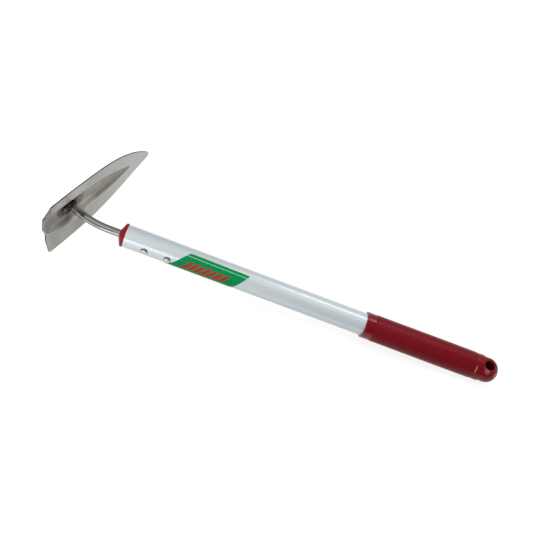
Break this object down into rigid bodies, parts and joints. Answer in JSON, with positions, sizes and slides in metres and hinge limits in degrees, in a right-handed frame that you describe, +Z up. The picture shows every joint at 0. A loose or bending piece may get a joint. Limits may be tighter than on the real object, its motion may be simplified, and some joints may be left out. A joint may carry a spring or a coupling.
{
  "type": "triangle hoe",
  "caption": "Short handled triangle hoe: pointed pressed blade welded to a bent rod, riveted tube handle with a front cap, and a soft grip with a hanging hole.",
  "frame": {"origin": "under the centre of the bounding box, at its lowest level, with the hoe on its side", "axes": "+X runs along the handle from the blade to the grip's end, +Y points to the side that the blade's tip is on, +Z is up, square to the plane in which the rod bends"},
  "size_m": [0.5138, 0.1406, 0.089],
  "materials": {
    "blade": "pressed stainless sheet, ground along its two long sides",
    "neck_rod": "polished round stainless bar",
    "weld_bead": "weld metal with dark scale",
    "front_cap": "moulded red plastic",
    "handle_tube": "aluminium tube, silver white, satin",
    "rivet": "domed aluminium rivet",
    "label": "green printed film",
    "grip": "soft moulded vinyl, matt with glossy bands"
  },
  "bodies": {
    "root": {"blade": "blade", "neck_rod": "neck_rod", "weld_bead": "weld_bead", "front_cap": "front_cap", "handle_tube": "handle_tube", "rivet_front": "rivet", "rivet_rear": "rivet", "label": "label", "grip": "grip"}
  },
  "joints": []
}
